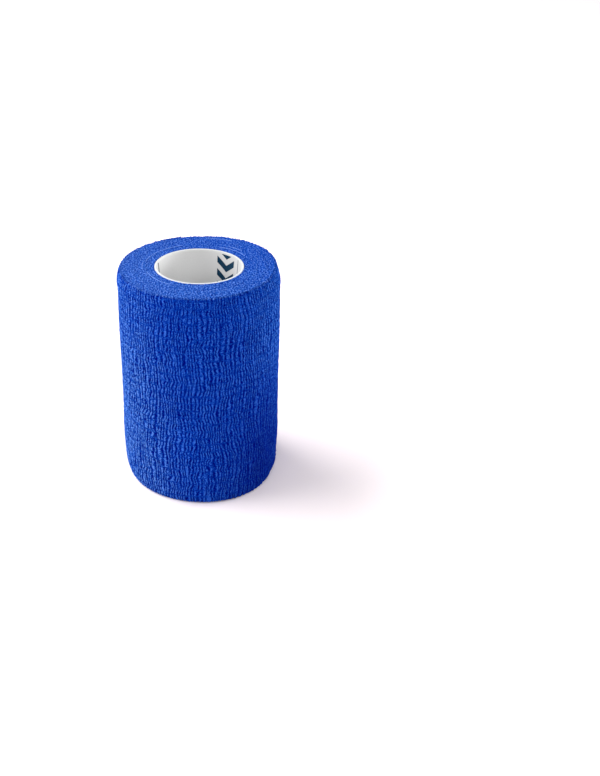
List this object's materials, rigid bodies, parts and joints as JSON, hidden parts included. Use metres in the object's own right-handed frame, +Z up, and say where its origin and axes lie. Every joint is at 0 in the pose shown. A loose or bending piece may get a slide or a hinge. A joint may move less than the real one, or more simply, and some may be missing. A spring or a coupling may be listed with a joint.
{
  "type": "cohesive bandage roll",
  "caption": "Roll of self-clinging elastic crepe bandage wound on a paperboard tube, standing on its end.",
  "frame": {"origin": "on the axis of the core tube, at the foot of the roll", "axes": "+Z up along the tube; +Y towards the back, where the free end of the cloth lies"},
  "size_m": [0.053, 0.0533, 0.075],
  "materials": {
    "crepe_cloth": "matte blue non-woven crepe",
    "paperboard": "white lined, cream cut edges"
  },
  "bodies": {
    "root": {"bandage_roll": "crepe_cloth", "core_tube": "paperboard"}
  },
  "joints": []
}
